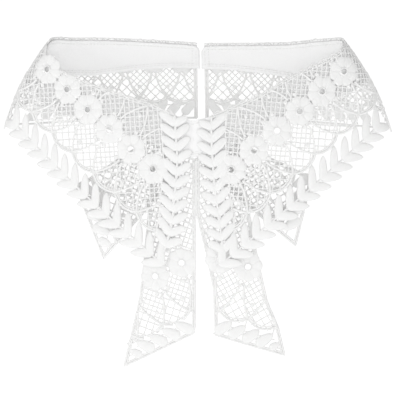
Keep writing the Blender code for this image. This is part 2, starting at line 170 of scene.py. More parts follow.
# Flower rows: first flower, direction, step and count. Out from a row lies the edge it follows.
# A stretch lengthens the repeat outwards, and a drop moves the flowers outwards.
FRONT_ROW = {"start": (0.0245, -0.0722), "angle": 39.8, "pitch": 0.0186, "count": 6}
BACK_ROW = {"start": (0.0125, -0.0095), "angle": 0.0, "pitch": 0.0182, "count": 6, "drop": 0.0018}
LONG_ROWS = {
    "left": {"start": (0.0064, -0.1310), "angle": -27.6, "pitch": 0.0190, "count": 2, "stretch": 1.07},
    "right": {"start": (0.0177, -0.1283), "angle": -16.1, "pitch": 0.0187, "count": 2, "stretch": 1.15},
}
SHORT_ROWS = {
    "left": {"start": (0.0300, -0.0860), "angle": 66.6, "pitch": 0.0186, "count": 0},
    "right": {"start": (0.0330, -0.0840), "angle": 76.0, "pitch": 0.0186, "count": 0},
}

# Tails: arcs that a root spans under the band, then the arc and height of each free corner, going round
ROOT_STEPS = 10
LONG_ROOTS = {"left": (-0.0020, 0.0240), "right": (0.0028, 0.0280)}
SHORT_ROOTS = {"left": (0.0080, 0.0300), "right": (0.0080, 0.0300)}
LONG_TAILS = {
    "left": (
        (-0.0022, -0.1710),
        (-0.0010, -0.1757),
        (0.0432, -0.1976),
        (0.0350, -0.1630),
        (0.0330, -0.1550),
        (0.0300, -0.1280),
    ),
    "right": (
        (0.0031, -0.0990),
        (0.0101, -0.1277),
        (0.0143, -0.1479),
        (0.0153, -0.1765),
        (0.0595, -0.1900),
        (0.0550, -0.1716),
        (0.0480, -0.1556),
        (0.0415, -0.1274),
    ),
}
SHORT_TAILS = {
    "left": ((0.0080, -0.0740), (0.0575, -0.1300), (0.0765, -0.0860)),
    "right": ((0.0080, -0.0720), (0.0665, -0.1210), (0.0770, -0.0790)),
}
LONG_END = {"left": (1, 2), "right": (3, 4)}
SHORT_END = (2, 1)
SIDES = {"left": -1, "right": 1}

# The repeat of the lace, measured out from a flower's centre. A share is of a cord's radius, and a
# wander says how fast a stray changes from place to place.
CELL_TOP = 0.0098
CELL_FOOT = 0.0275
CELL_NECK = 0.0013
SCALLOP = 0.0033
SCALLOP_MARGIN = 0.0006
CELL_SHARE = 1.1
UPPER_SHARE = 1.0
CELL_LIFT = 0.00022
SCALLOP_LINES = ((0.0, 1.1), (-0.0015, 0.7))
SCALLOP_LIFT = 0.00025
FLOWER_CLEAR = 0.0078
PETAL_START = 0.0017
PETAL_HALF = 0.0036
PETAL_RISE = 0.0010
LEAF_RISE = 0.0012
LEAF_OVERLAP = 0.0016
MOTIF_UNDER = 0.00045
SIDE_NET = 0.0075
TAPE_STEP = 1.75
ROLL_SHARE = 0.75
SEAM_SHARE = 0.9
BESIDE_SHARE = 0.9
EDGE_SHARE = 1.2
RAIL_SHARE = 0.8
RAIL_LIFT = 0.0002
PICOT_HALF = 0.0021
PICOT_RISE = 0.0014
PICOT_WANDER = 700
PICOT_RISE_STRAY = 0.5
PICOT_STEP_STRAY = 0.35
PICOT_CORD = 0.00046
LEAF_FILL = 0.78
EYE_RINGS = ((0.0021, 0.00085), (0.0026, 0.0003))
EYE_CORD = 0.00042
DOTS = ((-0.0053, 0.0100), (0.0057, 0.0098), (0.0, 0.0196))
DOT_LENGTH = 0.0032
DOT_HALF = 0.0014
DOT_RISE = 0.0008
LEAF_CUTS = (14, 12)
PETAL_CUTS = (14, 8)
DOT_CUTS = (8, 6)
CREASE_WIDTH = 0.22
LEAF_CREASE = 0.20
PETAL_CREASE = 0.30

# Threads: distances between the points of a cord and of a net thread, and how uneven each is
CORD_STEP = 0.0014
NET_STEP = 0.0011
NET_REACH = 1.4
NET_LAP = 0.8
NET_STRAY = 0.00022
NET_WANDER = 260
CORD_WANDER = 900
CORD_STRAY = 0.22
CROSSING_LIFT = 0.00012

# Steps along the edges of a flat pattern
ROLL_STEPS = 34
FIRST_SHARE = 0.05
SIDE_SHARE = 0.5
SEAM_STEPS = 8
HEM_STEPS = 30

# Camera and stage, from the photograph
PHOTO_SIZE = 400
PIXEL = 0.00064
CAMERA_TURN = math.radians(4.0)
CAMERA_RISE = math.radians(8.0)
CAMERA_AWAY = 2.4
CAMERA_AIM = Vector((0.0019, 0.0, -0.0979))
SENSOR = 36.0
FLOOR_HEIGHT = -0.32
FLOOR_GLOW = 0.60
FLOOR_CLOUD = 0.985
FLOOR_REACH = 14.0

# Lights: name, place, size in metres and power in watts
LIGHTS = (
    ("key", (-1.83, -0.95, 0.72), 0.42, 9.0),
    ("front", (0.12, -2.2, 0.15), 0.7, 12.0),
    ("top", (0.0, -1.7, 1.9), 1.6, 3.0),
    ("fill", (1.54, -1.32, 0.45), 0.6, 2.6),
)
WORLD_STRENGTH = 0.50
PICTURE_GAMMA = 1.3

# Finishes: distances between satin stitches and between the woven threads
SATIN_PITCH = 0.00042
WARP_PITCH = 0.00056
WEFT_PITCH = 0.00050


class CollarSizes(bpy.types.PropertyGroup):
    """Sizes of the lace and the sewing that a maker would change."""

    thread: bpy.props.FloatProperty(
        name="Net thread", description="Radius of a net thread", default=0.00052, min=0.0001, unit="LENGTH"
    )
    cord: bpy.props.FloatProperty(
        name="Cord", description="Radius of veins and edge cords", default=0.00072, min=0.0001, unit="LENGTH"
    )
    fine: bpy.props.FloatProperty(
        name="Fine net", description="Pitch of the fine net", default=0.0030, min=0.001, unit="LENGTH"
    )
    coarse: bpy.props.FloatProperty(
        name="Coarse net", description="Pitch of the coarse net", default=0.0044, min=0.001, unit="LENGTH"
    )
    leaf: bpy.props.FloatProperty(
        name="Leaf length", description="Length of a border leaf", default=0.0128, min=0.004, unit="LENGTH"
    )
    leaf_half: bpy.props.FloatProperty(
        name="Leaf half-width", description="Half-width of a leaf", default=0.0032, min=0.001, unit="LENGTH"
    )
    flower: bpy.props.FloatProperty(
        name="Flower radius", description="Radius of a flower", default=0.0096, min=0.003, unit="LENGTH"
    )
    petals: bpy.props.IntProperty(name="Petals", description="Petals of a flower", default=8, min=5, max=12)
    picot: bpy.props.FloatProperty(
        name="Picot step", description="Distance between picots", default=0.0078, min=0.002, unit="LENGTH"
    )
    stitch: bpy.props.FloatProperty(
        name="Stitch", description="Pitch of the band's stitches", default=0.0024, min=0.001, unit="LENGTH"
    )


class CollarLooks(bpy.types.PropertyGroup):
    """Colours of the cloth and the stage."""

    lace: bpy.props.FloatVectorProperty(
        name="Lace", description="Colour of the lace", subtype="COLOR", size=3,
        default=(0.87, 0.87, 0.865),
    )
    # Painted shade: the darker satin colour laid into the grooves between stitches, where shade falls.
    groove_shade: bpy.props.FloatVectorProperty(
        name="Groove", description="Satin colour between stitches", subtype="COLOR", size=3,
        default=(0.75, 0.75, 0.745),
    )
    thread: bpy.props.FloatVectorProperty(
        name="Thread", description="Colour of the net and cords", subtype="COLOR", size=3,
        default=(0.80, 0.80, 0.795),
    )
    thread_shade: bpy.props.FloatVectorProperty(
        name="Thread shade", description="Darker tone along the threads", subtype="COLOR", size=3,
        default=(0.69, 0.69, 0.685),
    )
    band: bpy.props.FloatVectorProperty(
        name="Band", description="Colour of the neckband", subtype="COLOR", size=3,
        default=(0.88, 0.88, 0.88),
    )
    floor: bpy.props.FloatVectorProperty(
        name="Floor", description="Colour of the floor", subtype="COLOR", size=3,
        default=(0.93, 0.93, 0.93),
    )


# Shader maths

class Value:
    """A node socket that takes part in Python arithmetic."""

    def __init__(self, tree, socket):
        self.tree = tree
        self.socket = socket

    def node(self, kind, settings=None, output=None, **inputs):
        """Adds a node, sets it, then fills its sockets. Gives the named output, or the first live one."""
        made = self.tree.nodes.new(kind)
        for name, setting in (settings or {}).items():
            setattr(made, name, setting)
        for name, value in inputs.items():
            socket = made.inputs[int(name[1:]) if name[0] == "_" else name]
            if isinstance(value, Value):
                self.tree.links.new(value.socket, socket)
            else:
                socket.default_value = value
        live = [socket for socket in made.outputs if socket.enabled]
        return Value(self.tree, made.outputs[output] if output else live[0])

    def math(self, operation, other=0.0):
        return self.node("ShaderNodeMath", {"operation": operation}, _0=self, _1=other)

    def __add__(self, other):
        return self.math("ADD", other)

    def __sub__(self, other):
        return self.math("SUBTRACT", other)

    def __mul__(self, other):
        return self.math("MULTIPLY", other)

    def __rsub__(self, other):
        return (self * -1.0) + other

    __radd__ = __add__
    __rmul__ = __mul__

    def wave(self, length):
        """A sine from 0 to 1 with this wavelength."""
        return (self * (2 * math.pi / length)).math("SINE") * 0.5 + 0.5

    def blend(self, low, high):
        """Mixes two colours by this value."""
        return self.node("ShaderNodeMix", {"data_type": "RGBA"}, Factor=self, A=(*low, 1.0), B=(*high, 1.0))


def new_material(name, roughness, sheen=0.05):
    """A material, a value of its tree to start from, and its shader."""
    material = bpy.data.materials.new(name)
    material.use_nodes = True
    tree = material.node_tree
    shader = tree.nodes["Principled BSDF"]
    shader.inputs["Roughness"].default_value = roughness
    shader.inputs["Sheen Weight"].default_value = sheen
    shader.inputs["Specular IOR Level"].default_value = 0.25
    return material, Value(tree, shader.outputs[0]), shader


def finish_with(start, shader, colour, height, distance, strength=1.0):
    """Feeds a colour and a bump to the shader."""
    start.tree.links.new(colour.socket, shader.inputs["Base Color"])
    bump = start.node("ShaderNodeBump", Strength=strength, Distance=distance, Height=height)
    start.tree.links.new(bump.socket, shader.inputs["Normal"])


def object_place(start):
    return start.node("ShaderNodeTexCoord", output="Object")


def flat_place(start, uv_name):
    """The piece's own UV map, in metres along and across."""
    place = start.node("ShaderNodeUVMap", {"uv_map": uv_name})
    along = place.node("ShaderNodeSeparateXYZ", output="X", Vector=place)
    return along, Value(start.tree, along.socket.node.outputs["Y"])


def thread_material(looks):
    """Machine-embroidered cotton thread: soft fibres and slightly uneven colour."""
    material, start, shader = new_material("cotton_thread", 0.86)
    place = object_place(start)
    fibres = start.node("ShaderNodeTexNoise", Vector=place, Scale=5200.0, Detail=2.0)
    tone = start.node("ShaderNodeTexNoise", Vector=place, Scale=420.0, Detail=1.0)
    mixed = (fibres * 0.6 + tone * 0.4).blend(looks.thread_shade, looks.thread)
    finish_with(start, shader, mixed, fibres, 0.00012)
    return material


def satin_material(looks):
    """Satin stitch: close parallel threads across a leaf, petal or dot, with painted shade in the grooves
    between stitches.
    """
    material, start, shader = new_material("cotton_satin", 0.74, 0.06)
    along, across = flat_place(start, "stitch")
    stray = start.node("ShaderNodeTexNoise", Vector=object_place(start), Scale=900.0, Detail=2.0)
    bent = along + across.math("ABSOLUTE") * 0.35 + stray * 0.00035
    stitch = bent.wave(SATIN_PITCH).math("POWER", 0.7)
    # Painted shade: where the stitch wave is low, in the grooves between stitches, the satin takes the
    # groove shade colour; the stray noise adds random tone.
    tone = (stitch * 0.72 + stray * 0.28).blend(looks.groove_shade, looks.lace)
    finish_with(start, shader, tone, stitch + stray * 0.4, 0.00011)
    return material


def woven_material(looks):
    """Plain weave of the neckband, with painted shade in the low points of the weave."""
    material, start, shader = new_material("cotton_woven", 0.90)
    along, down = flat_place(start, "weave")
    slub = start.node("ShaderNodeTexNoise", Vector=object_place(start), Scale=1500.0, Detail=3.0)
    warp = (along + slub * 0.00008).wave(WARP_PITCH)
    weft = (down + slub * 0.00008).wave(WEFT_PITCH)
    weave = warp * weft + (1 - warp) * (1 - weft)
    # Painted shade: the low points of the weave take a darker band colour; the slub noise adds random tone.
    dark = [0.90 * part for part in looks.band]
    tone = (weave * 0.45 + slub * 0.55).blend(dark, looks.band)
    finish_with(start, shader, tone, weave + slub * 0.3, 0.00010, 0.8)
    return material


def floor_material(looks):
    """Pale floor with a faint light of its own, so that it shows as white."""
    material, start, shader = new_material("pale_floor", 0.9, 0.0)
    cloud = start.node("ShaderNodeTexNoise", Vector=object_place(start), Scale=0.7)
    pale = [FLOOR_CLOUD * part for part in looks.floor]
    start.tree.links.new(cloud.blend(pale, looks.floor).socket, shader.inputs["Base Color"])
    shader.inputs["Emission Color"].default_value = (1, 1, 1, 1)
    shader.inputs["Emission Strength"].default_value = FLOOR_GLOW
    return material


def material_of(name):
    """A finish of the collar, made once."""
    looks = bpy.context.scene.collar_looks
    makers = {
        "cotton_thread": thread_material,
        "cotton_satin": satin_material,
        "cotton_woven": woven_material,
        "pale_floor": floor_material,
    }
    return bpy.data.materials.get(name) or makers[name](looks)


# The form

def section(height):
    """Front radius, front turn and side centre of the form's oval at a height."""
    half_width = NECK_HALF_WIDTH + WIDTH_GAIN * (1 - math.exp(height / WIDTH_DROP))
    half_depth = NECK_HALF_DEPTH + DEPTH_GAIN * (1 - math.exp(height / DEPTH_DROP))
    across = half_width - SIDE_RADIUS
    turn = 2 * math.atan((half_depth - SIDE_RADIUS) / across)
    return SIDE_RADIUS + across / math.sin(turn), turn, across


def half_girth(height):
    """Length of the oval from centre front to centre back."""
    radius, turn, _ = section(height)
    return 2 * radius * turn + SIDE_RADIUS * (math.pi - 2 * turn)


def drape(arc, height, out, side):
    """The point at an arc from centre front and a height, out from the form, on one side."""
    radius, turn, across = section(height)
    front = radius * turn
    round_side = SIDE_RADIUS * (math.pi - 2 * turn)
    centre = (radius - SIDE_RADIUS) * math.cos(turn)
    if arc <= front:
        angle = arc / radius
        middle = (0.0, centre)
        reach = radius
    elif arc <= front + round_side:
        angle = turn + (arc - front) / SIDE_RADIUS
        middle = (across, 0.0)
        reach = SIDE_RADIUS
    else:
        angle = math.pi - turn + (arc - front - round_side) / radius
        middle = (0.0, -centre)
        reach = radius
    x = middle[0] + (reach + out) * math.sin(angle)
    y = middle[1] - (reach + out) * math.cos(angle)
    return Vector((side * x, y, height))


def drape_back(arc, height, out, side):
    """The same from centre back."""
    return drape(half_girth(height) - arc, height, out, side)


def roll_height(share, side):
    """Height of the neckline, smooth through the table."""
    column = 1 if side < 0 else 2
    rows = ROLL_LINE
    at = max(i for i in range(len(rows) - 1) if rows[i][0] <= share or i == 0)
    before, start, end, after = (rows[min(max(at + k, 0), len(rows) - 1)] for k in (-1, 0, 1, 2))
    span = end[0] - start[0]
    t = (share - start[0]) / span
    rise_in = (end[column] - before[column]) / max(end[0] - before[0], span) * span
    rise_out = (after[column] - start[column]) / max(after[0] - start[0], span) * span
    return (
        (2 * t**3 - 3 * t**2 + 1) * start[column]
        + (t**3 - 2 * t**2 + t) * rise_in
        + (-2 * t**3 + 3 * t**2) * end[column]
        + (t**3 - t**2) * rise_out
    )


def hem_height(arc):
    """Height of the back hem at an arc from centre back."""
    share = 2 * arc / half_girth(HEM_AT_SIDE)
    corner = max(0.0, (share - HEM_CORNER_SHARE) / (1 - HEM_CORNER_SHARE))
    return HEM_AT_BACK + (HEM_AT_SIDE - HEM_AT_BACK) * share**2 + HEM_CORNER_RISE * corner**2


def under_band(arc, side):
    """Height just under the neckband's lower edge at an arc from centre front."""
    height = -BAND_HEIGHT
    for _ in range(8):
        band_foot = roll_height(arc / half_girth(height), side) - SEAM_GAP - BAND_HEIGHT
        height = band_foot - BAND_SLOPE_DROP - SEAM_GAP
    return height


# Flat pattern

def inside(point, outline):
    """Whether a flat point is inside a closed outline."""
    odd = False
    last = outline[-1]
    for here in outline:
        if (last.y > point.y) != (here.y > point.y):
            if point.x < last.x + (point.y - last.y) * (here.x - last.x) / (here.y - last.y):
                odd = not odd
        last = here
    return odd


def area_of(outline):
    """Area inside a closed outline."""
    pairs = zip(outline, outline[1:] + outline[:1])
    return abs(sum(a.x * b.y - a.y * b.x for a, b in pairs)) / 2


def spread_of(outline):
    """Width and height of an outline."""
    xs = [p.x for p in outline]
    ys = [p.y for p in outline]
    return max(xs) - min(xs), max(ys) - min(ys)


def centre_of(outline):
    """Mean of an outline's points."""
    return Vector((sum(p.x for p in outline) / len(outline), sum(p.y for p in outline) / len(outline)))


def heading(angle):
    """The flat direction at an angle."""
    return Vector((math.cos(angle), math.sin(angle)))


def left_of(along):
    """The flat direction square to another, on its left."""
    return Vector((-along.y, along.x))


def resampled(points):
    """A flat path with even short steps."""
    found = [points[0].copy()]
    for a, b in zip(points, points[1:]):
        count = max(1, math.ceil((b - a).length / CORD_STEP))
        found.extend(a.lerp(b, k / count) for k in range(1, count + 1))
    return found


def petal_profile(share):
    """Width of a petal: narrow at the eye, round at the rim."""
    return math.sin(math.pi * share**1.6) ** 0.48


def dot_profile(share):
    """Width of a dot, round at both ends."""
    return math.sin(math.pi * share) ** 0.48


def border_root(k):
    """Where pair k of the leaf border stands."""
    return BORDER_START + heading(BORDER_ANGLE) * BORDER_PITCH * k


def column_vein(word):
    """Even points down the vein of a leaf column, one for each pair of leaves."""
    line = [Vector(point) for point in COLUMN_LINES[word]]
    lengths = [(b - a).length for a, b in zip(line, line[1:])]
    found = []
    for k in range(COLUMN_PAIRS):
        walked = sum(lengths) * k / (COLUMN_PAIRS - 1)
        at = 0
        while at < len(lengths) - 1 and walked > lengths[at]:
            walked -= lengths[at]
            at += 1
        found.append(line[at].lerp(line[at + 1], walked / lengths[at]))
    return found


def arc_at(line, height):
    """Arc of a line that runs down, at a height."""
    for a, b in zip(line, line[1:]):
        if height >= b.y:
            return b.x + (a.x - b.x) * min(1.0, (height - b.y) / (a.y - b.y))
    return line[-1].x


class Row:
    """A flower row and the repeat that hangs out from it."""

    def __init__(self, start, angle, pitch, count, stretch=1.0, drop=0.0):
        self.start = Vector(start)
        self.stretch = stretch
        self.drop = drop
        self.angle = math.radians(angle)
        self.along = heading(self.angle)
        self.out = Vector((self.along.y, -self.along.x))
        self.pitch = pitch
        self.count = count

    def flat(self, k, aside, out):
        """The flat point beside flower k."""
        return self.start + self.along * (k * self.pitch + aside) + self.out * out * self.stretch

    def local(self, point):
        """Nearest flower, then aside and out from its centre."""
        offset = point - self.start
        run = offset.dot(self.along)
        k = round(run / self.pitch)
        return k, run - k * self.pitch, offset.dot(self.out) / self.stretch

    def cell_half(self, out):
        """Half-width of the coarse cell at a distance out."""
        share = (out - CELL_TOP) / (CELL_FOOT - CELL_TOP)
        return CELL_NECK + (self.pitch / 2 - CELL_NECK) * max(0.0, share) ** 1.7

    def scallop(self, aside):
        """How far out the scallop's edge lies."""
        return CELL_FOOT + SCALLOP * (1 - (2 * aside / self.pitch) ** 2)


class Lace:
    """Collects one lace piece: wires for its threads and cords, and a bmesh for its satin motifs."""

    def __init__(self, name, form, side, ground, row, wall=LACE_WALL, layer=0.0):
        self.name = name
        self.form = form
        self.side = side
        self.ground = ground
        self.row = Row(**row)
        self.flowers = [self.row.flat(k, 0, self.row.drop) for k in range(self.row.count)]
        self.middle = layer + wall / 2
        self.wires = []
        self.satin = bmesh.new()
        self.stitch = self.satin.loops.layers.uv.new("stitch")
        self.sizes = bpy.context.scene.collar_sizes

    def place(self, point, out):
        """The point in space of a flat point, out from the middle of the cloth."""
        return self.form(point.x, point.y, self.middle + out, self.side)

    def in_ground(self, point):
        return inside(point, self.ground)

    def in_repeat(self, point, past_scallops=False):
        """Whether a flat point is on the cloth, clear of flowers and, unless told, within the scallops."""
        if not inside(point, self.ground):
            return False
        _, aside, out = self.row.local(point)
        if out > self.row.scallop(aside) + SCALLOP_MARGIN and not past_scallops:
            return False
        return all((point - centre).length > FLOWER_CLEAR for centre in self.flowers)

    def wire(self, points, radius, lift=0.0, closed=False):
        """A cord along flat points, slightly uneven as embroidered thread is."""
        if len(points) < 2:
            return
        found = []
        for point in points:
            stray = noise.noise(Vector((point.x, point.y, 3.0)) * CORD_WANDER)
            found.append((self.place(point, lift), radius * (1 + CORD_STRAY * stray)))
        self.wires.append((found, closed))

    def tape(self, points, share=1.0, hand=1):
        """Two cords side by side along an edge, the second inside the first. Hand 1 is the path's left."""
        path = resampled(points)
        beside = []
        for k, point in enumerate(path):
            along = (path[min(k + 1, len(path) - 1)] - path[max(k - 1, 0)]).normalized()
            beside.append(point + left_of(along) * self.sizes.cord * TAPE_STEP * hand)
        self.wire(path, self.sizes.cord * share)
        self.wire(beside, self.sizes.cord * share * BESIDE_SHARE)

    def line(self, points, radius, kept, lift=0.0):
        """A cord along flat points wherever they are kept."""
        run = []
        for point in resampled(points):
            if kept(point):
                run.append(point)
            else:
                self.wire(run, radius, lift)
                run = []
        self.wire(run, radius, lift)

    def net(self, kept):
        """Two sets of threads, at 45 degrees to the flower row, in each kind of net."""
        reach = NET_REACH * math.hypot(*spread_of(self.ground)) / 2
        middle = centre_of(self.ground)
        for turn in (-45, 45):
            along = heading(self.row.angle + math.radians(turn))
            for kind, pitch in (("fine", self.sizes.fine), ("coarse", self.sizes.coarse)):
                count = int(reach / pitch)
                for k in range(-count, count + 1):
                    self.net_line(middle + left_of(along) * pitch * k, along, reach, kind, kept, turn)

    def net_line(self, origin, along, reach, kind, kept, turn):
        """The threads that lie on one line, wherever this kind of net is kept."""
        count = int(reach / NET_STEP)
        run = []
        for k in range(-count, count + 1):
            point = origin + along * NET_STEP * k
            if kept(point) and self.net_kind(point) == kind:
                stray = noise.noise(Vector((point.x, point.y, turn)) * NET_WANDER) * NET_STRAY
                run.append(point + left_of(along) * stray)
            elif run:
                self.net_run(run, along, turn)
                run = []
        self.net_run(run, along, turn)

    def net_kind(self, point):
        """The cell between two flowers has coarse net, and the rest has fine net."""
        _, aside, out = self.row.local(point)
        return "coarse" if CELL_TOP < out and abs(aside) < self.row.cell_half(out) else "fine"

    def net_run(self, run, along, turn):
        """One thread, from the cord before it to the cord after it."""
        if len(run) < 2:
            return
        lap = along * NET_STEP * NET_LAP
        path = [run[0] - lap] + run + [run[-1] + lap]
        last = [path[-1]] if len(path) % 2 == 0 else []
        self.wire(path[::2] + last, self.sizes.thread, CROSSING_LIFT * turn / 45)

    def motif(self, start, along, length, half, rise, profile, crease, cuts):
        """A plump satin form on a flat axis. The profile gives its width along a share of its length."""
        lengthwise = Matrix.Rotation(math.pi / 2, 4, "Y")
        ball = bmesh.ops.create_uvsphere(
            self.satin, u_segments=cuts[0], v_segments=cuts[1], radius=1.0, matrix=lengthwise
        )
        flat = {}
        for vert in ball["verts"]:
            share = min(max((vert.co.x + 1) / 2, 0.0), 1.0)
            ring = math.hypot(vert.co.y, vert.co.z)
            beside = vert.co.y / ring if ring > 1e-6 else 0.0
            up = vert.co.z / ring if ring > 1e-6 else 0.0
            width = half * profile(share) if 0 < share < 1 else 0.0
            full = math.sin(math.pi * share) ** 0.30 if 0 < share < 1 else 0.0
            fold = 1 - crease * math.exp(-((beside / CREASE_WIDTH) ** 2))
            height = rise * up * full * fold if up > 0 else MOTIF_UNDER * up * full
            aside = width * math.copysign(abs(beside) ** 0.85, beside)
            flat[vert] = (length * share, aside)
            vert.co = self.place(start + along * length * share + left_of(along) * aside, height)
        for face in {face for vert in ball["verts"] for face in vert.link_faces}:
            face.material_index = 1
            face.smooth = True
            for loop in face.loops:
                loop[self.stitch].uv = flat[loop.vert]

    def leaf(self, root, angle, length=None, half=None, overlap=LEAF_OVERLAP, tip=4.0):
        """A leaf with a soft crease along its vein, blunt at its root. A higher tip is rounder."""
        length = length or self.sizes.leaf
        half = half or self.sizes.leaf_half
        along = heading(angle)

        def profile(share):
            return min(1.0, share / 0.16) ** 0.5 * (1 - share**tip) ** 0.7

        start = root - along * overlap
        self.motif(start, along, length + overlap, half, LEAF_RISE, profile, LEAF_CREASE, LEAF_CUTS)

    def flower(self, centre):
        """Round petals about a corded eye."""
        length = self.sizes.flower - PETAL_START
        petals = self.sizes.petals
        for k in range(petals):
            along = heading(2 * math.pi * (k + 0.5) / petals + self.row.angle)
            start = centre + along * PETAL_START
            self.motif(start, along, length, PETAL_HALF, PETAL_RISE, petal_profile, PETAL_CREASE, PETAL_CUTS)
        for reach, lift in EYE_RINGS:
            ring = [centre + heading(2 * math.pi * k / 18) * reach for k in range(18)]
            self.wire(ring, EYE_CORD, lift, closed=True)

    def dot(self, centre, angle):
        """A small round satin dot in the net."""
        along = heading(angle)
        start = centre - along * DOT_LENGTH / 2
        self.motif(start, along, DOT_LENGTH, DOT_HALF, DOT_RISE, dot_profile, 0.0, DOT_CUTS)

    def repeat(self, kept, upper):
        """The cell lines, scallops and dots about each flower of the row, on its upper side too if told."""
        row = self.row
        cord = self.sizes.cord
        outs = [CELL_TOP + (CELL_FOOT - CELL_TOP) * t / 12 for t in range(13)]
        asides = [row.pitch * (t / 12 - 0.5) for t in range(13)]
        ways = ((1, CELL_SHARE), (-1, UPPER_SHARE)) if upper else ((1, CELL_SHARE),)
        for k in range(-2, row.count + 3):
            for hand in (-1, 1):
                for way, share in ways:
                    line = [row.flat(k, hand * row.cell_half(out), way * out) for out in outs]
                    self.line(line, cord * share, kept, CELL_LIFT)
            for step_out, share in SCALLOP_LINES:
                line = [row.flat(k, aside, row.scallop(aside) + step_out) for aside in asides]
                self.line(line, cord * share, kept, SCALLOP_LIFT)
            for aside, out in DOTS:
                for way, _ in ways:
                    spot = row.flat(k, row.pitch / 2 + aside, out * way)
                    if all(kept(spot + row.out * room) for room in (0, DOT_LENGTH / 2, -DOT_LENGTH / 2)):
                        self.dot(spot, row.angle + math.radians(60 if aside >= 0 else 120))

    def fill(self, kept, upper=True):
        """The net, the repeat over it, then the flowers."""
        self.net(kept)
        self.repeat(kept, upper)
        for centre in self.flowers:
            self.flower(centre)

    def finish(self, node, outer_leaves=0):
        bmesh.ops.recalc_face_normals(self.satin, faces=self.satin.faces[:])
        wires = wire_mesh(self.name + "_wires", self.wires)
        self.satin.from_mesh(wires)
        bpy.data.meshes.remove(wires)
        piece = new_piece(self.name, self.satin, ("cotton_thread", "cotton_satin"))
        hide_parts(node)
        width, height = spread_of(self.ground)
        if outer_leaves:
            width += 2 * self.sizes.leaf
        leaf_area = LEAF_FILL * self.sizes.leaf * 2 * self.sizes.leaf_half
        area = area_of(self.ground) + outer_leaves * leaf_area


# Meshes and pieces

def wire_mesh(name, wires):
    """One mesh of round tubes along many paths of (point, radius)."""
    curve = bpy.data.curves.new(name, "CURVE")
    curve.dimensions = "3D"
    curve.bevel_depth = 1.0
    curve.bevel_resolution = 1
    for path, closed in wires:
        spline = curve.splines.new("POLY")
        spline.points.add(len(path) - 1)
        for spot, (point, radius) in zip(spline.points, path):
            spot.co = (*point, 1.0)
            spot.radius = radius
        spline.use_cyclic_u = closed
        spline.use_smooth = True
    holder = bpy.data.objects.new(name, curve)
    bpy.context.scene.collection.objects.link(holder)
    depsgraph = bpy.context.evaluated_depsgraph_get()
    mesh = bpy.data.meshes.new_from_object(holder.evaluated_get(depsgraph))
    bpy.data.objects.remove(holder)
    bpy.data.curves.remove(curve)
    tubes = bmesh.new()
    tubes.from_mesh(mesh)
    bmesh.ops.holes_fill(tubes, edges=[edge for edge in tubes.edges if edge.is_boundary], sides=12)
    tubes.to_mesh(mesh)
    tubes.free()
    return mesh


def new_piece(name, mesh, materials):
    """An object of the collar that rides on its one body."""
    data = bpy.data.meshes.new(name)
    mesh.to_mesh(data)
    mesh.free()
    for material in materials:
        data.materials.append(material_of(material))
    piece = bpy.data.objects.new(name, data)
    bpy.context.scene.collection.objects.link(piece)
    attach(piece, "root")
    return piece


def seam_line(top, foot):
    """Flat points down the side seam, below its top."""
    heights = [top + (foot - top) * k / SEAM_STEPS for k in range(1, SEAM_STEPS + 1)]
    return [Vector((half_girth(height) / 2, height)) for height in heights]


def front_ground(side, vein):
    """Flat outline of a front fall, from its leaf column round to the side seam and back."""
    first = vein[0].x / half_girth(roll_height(FIRST_SHARE, side))
    roll = []
    for k in range(ROLL_STEPS + 1):
        share = first + (SIDE_SHARE - first) * k / ROLL_STEPS
        height = roll_height(share, side)
        roll.append(Vector((share * half_girth(height), height)))
    seam = seam_line(roll[-1].y, border_root(BORDER_PAIRS - 1).y)
    border = [border_root(k) for k in range(BORDER_PAIRS - 1, -1, -1)]
    return roll, seam, border, vein[::-1] + [roll[0]]


def back_ground(side):
    """Flat outline of a back fall, from centre back: its neckline, the seam, then the hem."""
    roll = []
    for k in range(ROLL_STEPS + 1):
        share = 1 - (1 - SIDE_SHARE) * k / ROLL_STEPS
        height = roll_height(share, side)
        roll.append(Vector((max((1 - share) * half_girth(height), BACK_EDGE), height)))
    seam = seam_line(roll_height(SIDE_SHARE, 1), HEM_AT_SIDE)
    arcs = [seam[-1].x + (BACK_EDGE - seam[-1].x) * k / HEM_STEPS for k in range(1, HEM_STEPS + 1)]
    return roll, seam, [Vector((arc, hem_height(arc))) for arc in arcs]


def beside_seam(point):
    """Whether a flat point of a fall is near its side seam, where the net runs on."""
    return point.x > half_girth(point.y) / 2 - SIDE_NET


def bound_edges(lace, roll, seam, hand):
    """Cords along the neckline and the side seam, and picots on the neckline."""
    lace.tape(roll, ROLL_SHARE, hand)
    lace.tape(seam, SEAM_SHARE, hand)
    picots(lace, roll)


def picots(lace, roll):
    """Low loops of thread that stand along the neckline."""
    step = lace.sizes.picot
    walked = step / 2
    for a, b in zip(roll, roll[1:]):
        length = (b - a).length
        along = (b - a).normalized()
        while walked < length:
            stray = noise.noise(Vector((a.x + walked, a.y, 7.0)) * PICOT_WANDER)
            centre = a.lerp(b, walked / length)
            loop = []
            for k in range(9):
                turn = math.pi * k / 8
                rise = PICOT_RISE * (1 + PICOT_RISE_STRAY * stray) * math.sin(turn)
                loop.append(centre + along * PICOT_HALF * math.cos(turn) + Vector((0, rise)))
            lace.wire(loop, PICOT_CORD)
            walked += step * (1 + PICOT_STEP_STRAY * stray)
        walked -= length


